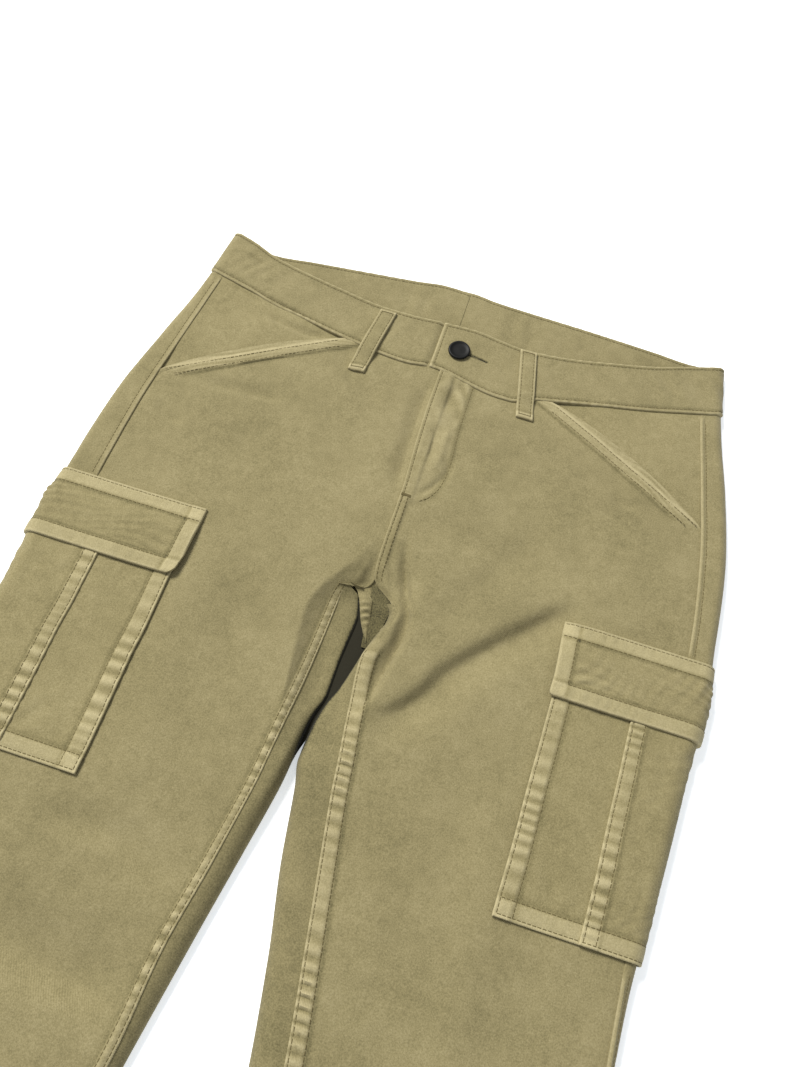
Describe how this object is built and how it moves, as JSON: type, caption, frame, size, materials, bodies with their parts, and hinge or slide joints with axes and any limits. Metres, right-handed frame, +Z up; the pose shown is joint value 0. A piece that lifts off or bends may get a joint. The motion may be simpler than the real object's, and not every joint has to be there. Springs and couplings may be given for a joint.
{
  "type": "cargo pants",
  "caption": "Cotton twill cargo pants laid flat on their back, with slant front pockets and a flapped cargo pocket on each thigh.",
  "frame": {"origin": "middle of the garment's outline, on the surface it lies on", "axes": "+Y up the garment towards the waist, +X towards the wearer's left leg, +Z up through its thickness"},
  "size_m": [0.479, 1, 0.0187],
  "materials": {
    "twill": "matte garment-dyed cotton twill",
    "pocket_twill": "matte garment-dyed cotton twill, a little lighter",
    "thread": "olive-brown sewing thread",
    "black_metal": "matte black"
  },
  "bodies": {
    "root": {"front_left": "twill", "front_right": "twill", "back_left": "twill", "back_right": "twill", "pocket_facing_left": "twill", "pocket_facing_right": "twill", "waistband_left": "twill", "waistband_right": "twill", "fly_placket": "twill", "belt_loop_front_left": "twill", "belt_loop_front_right": "twill", "belt_loop_side_left": "twill", "belt_loop_side_right": "twill", "belt_loop_centre_back": "twill", "cargo_inner_left": "pocket_twill", "cargo_inner_right": "pocket_twill", "cargo_centre_left": "pocket_twill", "cargo_centre_right": "pocket_twill", "cargo_outer_left": "pocket_twill", "cargo_outer_right": "pocket_twill", "cargo_flap_left": "pocket_twill", "cargo_flap_right": "pocket_twill", "button": "black_metal"}
  },
  "joints": []
}
